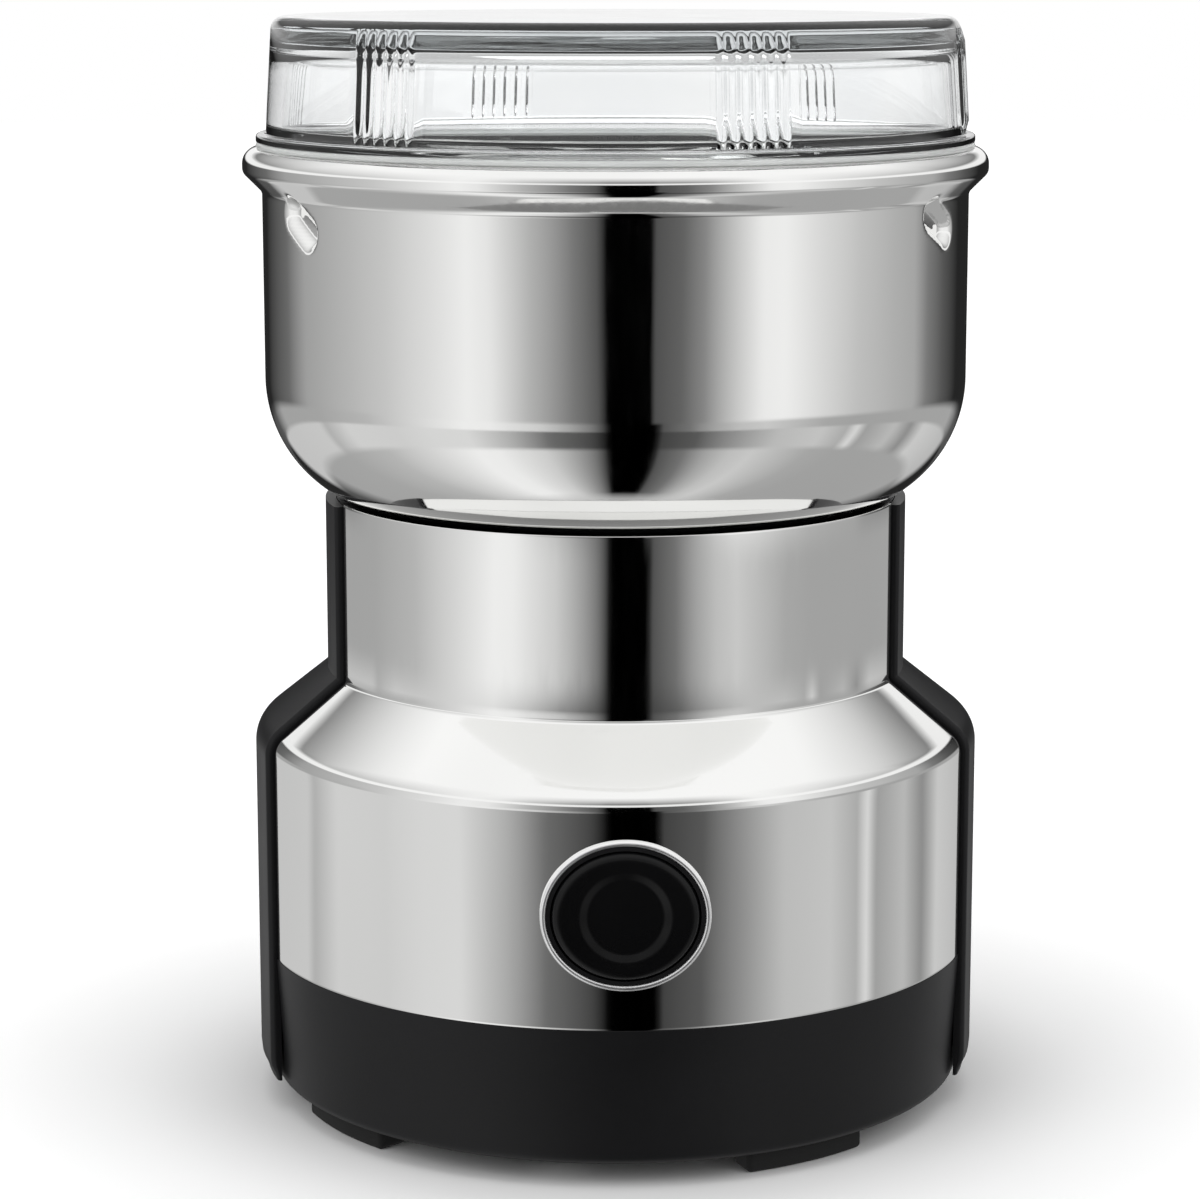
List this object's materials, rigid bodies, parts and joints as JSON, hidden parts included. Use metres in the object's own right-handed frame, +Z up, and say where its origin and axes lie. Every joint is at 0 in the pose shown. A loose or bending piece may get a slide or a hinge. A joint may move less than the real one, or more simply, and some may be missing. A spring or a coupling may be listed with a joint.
{
  "type": "electric spice grinder",
  "caption": "Upright electric spice grinder: clear bayonet lid, steel bowl with spinning blade, steel-clad waisted housing with universal motor and a sprung push button.",
  "frame": {"origin": "on the table, on the common vertical axis of bowl, motor and housing", "axes": "+Z up through the lid, -Y towards the front with the push button, +X to the right as seen from the front"},
  "size_m": [0.112, 0.112, 0.1651],
  "materials": {
    "clear_plastic": "clear glossy moulded plastic",
    "clear_silicone": "translucent silicone",
    "polished_steel": "mirror polished stainless sheet",
    "brushed_steel": "ground stainless blade steel",
    "bright_steel": "plain zinc plated steel",
    "chrome_ring": "bright chrome plate",
    "black_plastic": "satin black moulded plastic",
    "button_plastic": "gloss black moulded plastic",
    "dark_rubber": "matte black rubber",
    "motor_steel": "varnished electrical steel laminations",
    "cast_aluminium": "die cast",
    "copper_wire": "enamelled copper wire",
    "commutator_copper": "turned copper bars",
    "bronze": "sintered bronze, oiled",
    "brass_parts": "pressed brass",
    "carbon": "sintered carbon graphite",
    "insulator": "phenolic resin",
    "fan_plastic": "glass filled nylon",
    "bracket_plastic": "glass filled nylon",
    "fibre": "vulcanised fibre",
    "capacitor_case": "box shaped resin case",
    "terminal_plastic": "natural nylon"
  },
  "bodies": {
    "housing": {"base_cover": "black_plastic", "base_screws": "bright_steel", "bowl_gasket": "dark_rubber", "bowl_studs": "bright_steel", "brush_holder_left": "brass_parts", "brush_holder_right": "brass_parts", "brush_springs": "bright_steel", "button_bezel": "chrome_ring", "button_guide": "black_plastic", "button_spring": "bright_steel", "carbon_brush_left": "carbon", "carbon_brush_right": "carbon", "clamp_screws": "bright_steel", "cord_clamp": "black_plastic", "cord_gland": "dark_rubber", "field_coil_front": "copper_wire", "field_coil_rear": "copper_wire", "foot_front_left": "dark_rubber", "foot_front_right": "dark_rubber", "foot_rear_left": "dark_rubber", "foot_rear_right": "dark_rubber", "front_panel": "polished_steel", "grinding_bowl": "polished_steel", "guide_screws": "bright_steel", "lower_bracket": "bracket_plastic", "lower_bush": "bronze", "main_housing": "black_plastic", "motor_bolts": "bright_steel", "motor_dampers": "dark_rubber", "rear_panel": "polished_steel", "shaft_seal": "black_plastic", "side_strip_left": "black_plastic", "side_strip_right": "black_plastic", "stator_core": "motor_steel", "stud_nuts": "bright_steel", "stud_washers": "bright_steel", "suppression_capacitor": "capacitor_case", "switch_body": "black_plastic", "switch_pins": "bright_steel", "terminal_block": "terminal_plastic", "terminal_screws": "brass_parts", "upper_bracket": "cast_aluminium", "upper_bush": "bronze"},
    "lid_ring": {"lid_seal": "clear_silicone"},
    "lid": {"lid": "clear_plastic"},
    "rotor": {"drive_shaft": "bright_steel", "blade": "brushed_steel", "blade_spacer": "black_plastic", "blade_washer": "bright_steel", "blade_nut": "bright_steel", "armature_core": "motor_steel", "armature_winding": "copper_wire", "commutator": "commutator_copper", "commutator_sleeve": "insulator", "thrust_washers": "fibre", "cooling_fan": "fan_plastic", "fan_clip": "bright_steel"},
    "button": {"button_cap": "button_plastic", "button_clip": "bright_steel"},
    "plunger": {"switch_plunger": "terminal_plastic"}
  },
  "joints": [
    {"name": "lid_lift", "type": "slide", "parent": "housing", "child": "lid_ring", "axis": [0, 0, 1], "range_m": [0, 0.06]},
    {"name": "lid_turn", "type": "hinge", "parent": "lid_ring", "child": "lid", "pos_m": [0, 0, 0.1462], "axis": [0, 0, 1], "range_deg": [0, 22]},
    {"name": "blade_spin", "type": "hinge", "parent": "housing", "child": "rotor", "pos_m": [0, 0, 0.083], "axis": [0, 0, 1], "continuous": true},
    {"name": "button_press", "type": "slide", "parent": "housing", "child": "button", "axis": [0, 1, 0], "range_m": [0, 0.0025], "stiffness_N_per_m": 900, "springref_m": -0.003, "deforming": ["button_spring"]},
    {"name": "plunger_press", "type": "slide", "parent": "housing", "child": "plunger", "axis": [0, 1, 0], "range_m": [0, 0.0025]}
  ],
  "couplings": [
    {"joint": "plunger_press", "follows": "button_press", "ratio": 1}
  ]
}
